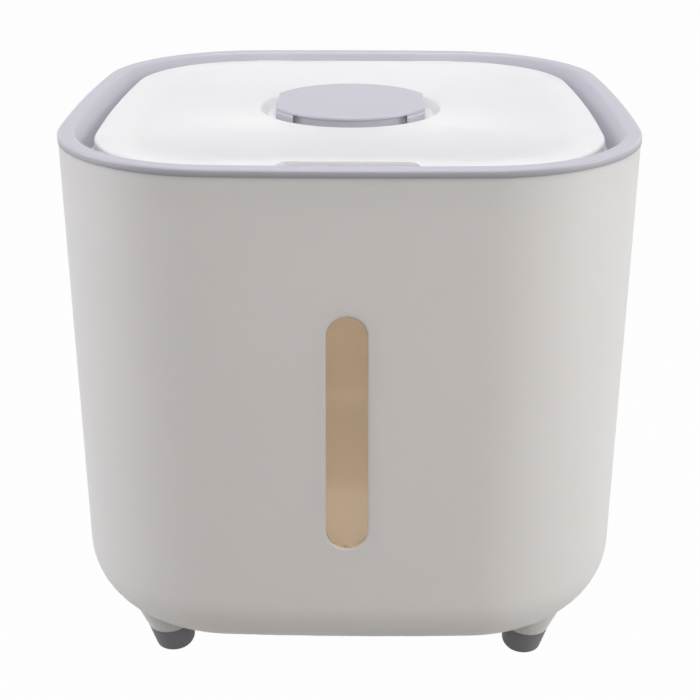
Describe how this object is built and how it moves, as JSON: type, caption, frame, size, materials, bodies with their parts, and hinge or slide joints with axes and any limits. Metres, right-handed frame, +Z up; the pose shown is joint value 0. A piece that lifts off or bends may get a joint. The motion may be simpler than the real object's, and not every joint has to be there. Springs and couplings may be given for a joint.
{
  "type": "grain bin with twist-lock lid",
  "caption": "Rounded-square grain bin on short legs, with a level window and a hinged lid that a round knob locks.",
  "frame": {"origin": "on the table under the middle of the bin", "axes": "+Z up, -Y to the front where the window and the finger notch are, +X to the right seen from the front"},
  "size_m": [0.26, 0.2616, 0.2513],
  "materials": {
    "white_pp": "satin moulded polypropylene",
    "grey_pp": "satin moulded polypropylene",
    "amber_lens": "clear tinted polystyrene",
    "grey_tpe": "moulded soft elastomer",
    "silicone": "moulded silicone",
    "acetal": "moulded acetal",
    "steel": "zinc-plated steel"
  },
  "bodies": {
    "bin": {"body_shell": "white_pp", "rim_ring": "grey_pp", "window_lens": "amber_lens", "window_gasket": "silicone", "hinge_pin_left": "steel", "hinge_pin_right": "steel", "foot_tip_front_left": "grey_tpe", "foot_tip_front_right": "grey_tpe", "foot_tip_back_left": "grey_tpe", "foot_tip_back_right": "grey_tpe"},
    "lid": {"lid_cover": "white_pp", "lid_base": "white_pp", "lid_gasket": "silicone", "lid_screws": "steel", "knob_seal": "silicone"},
    "knob": {"twist_knob": "grey_pp", "cam_disc": "acetal", "knob_screw": "steel", "knob_washer": "steel"},
    "bolt_left": {"latch_bolt_left": "acetal"},
    "bolt_right": {"latch_bolt_right": "acetal"}
  },
  "joints": [
    {"name": "lid_hinge", "type": "hinge", "parent": "bin", "child": "lid", "pos_m": [0, 0.11715, 0.2453], "axis": [-1, 0, 0], "range_deg": [0, 95]},
    {"name": "knob_turn", "type": "hinge", "parent": "lid", "child": "knob", "pos_m": [0, 0, 0.243], "axis": [0, 0, 1], "range_deg": [-90, 0]},
    {"name": "bolt_left_slide", "type": "slide", "parent": "lid", "child": "bolt_left", "axis": [-1, 0, 0], "range_m": [0, 0.008]},
    {"name": "bolt_right_slide", "type": "slide", "parent": "lid", "child": "bolt_right", "axis": [1, 0, 0], "range_m": [0, 0.008]}
  ],
  "couplings": [
    {"joint": "bolt_left_slide", "follows": "knob_turn", "m_per_rad": -0.005093},
    {"joint": "bolt_right_slide", "follows": "knob_turn", "m_per_rad": -0.005093}
  ]
}
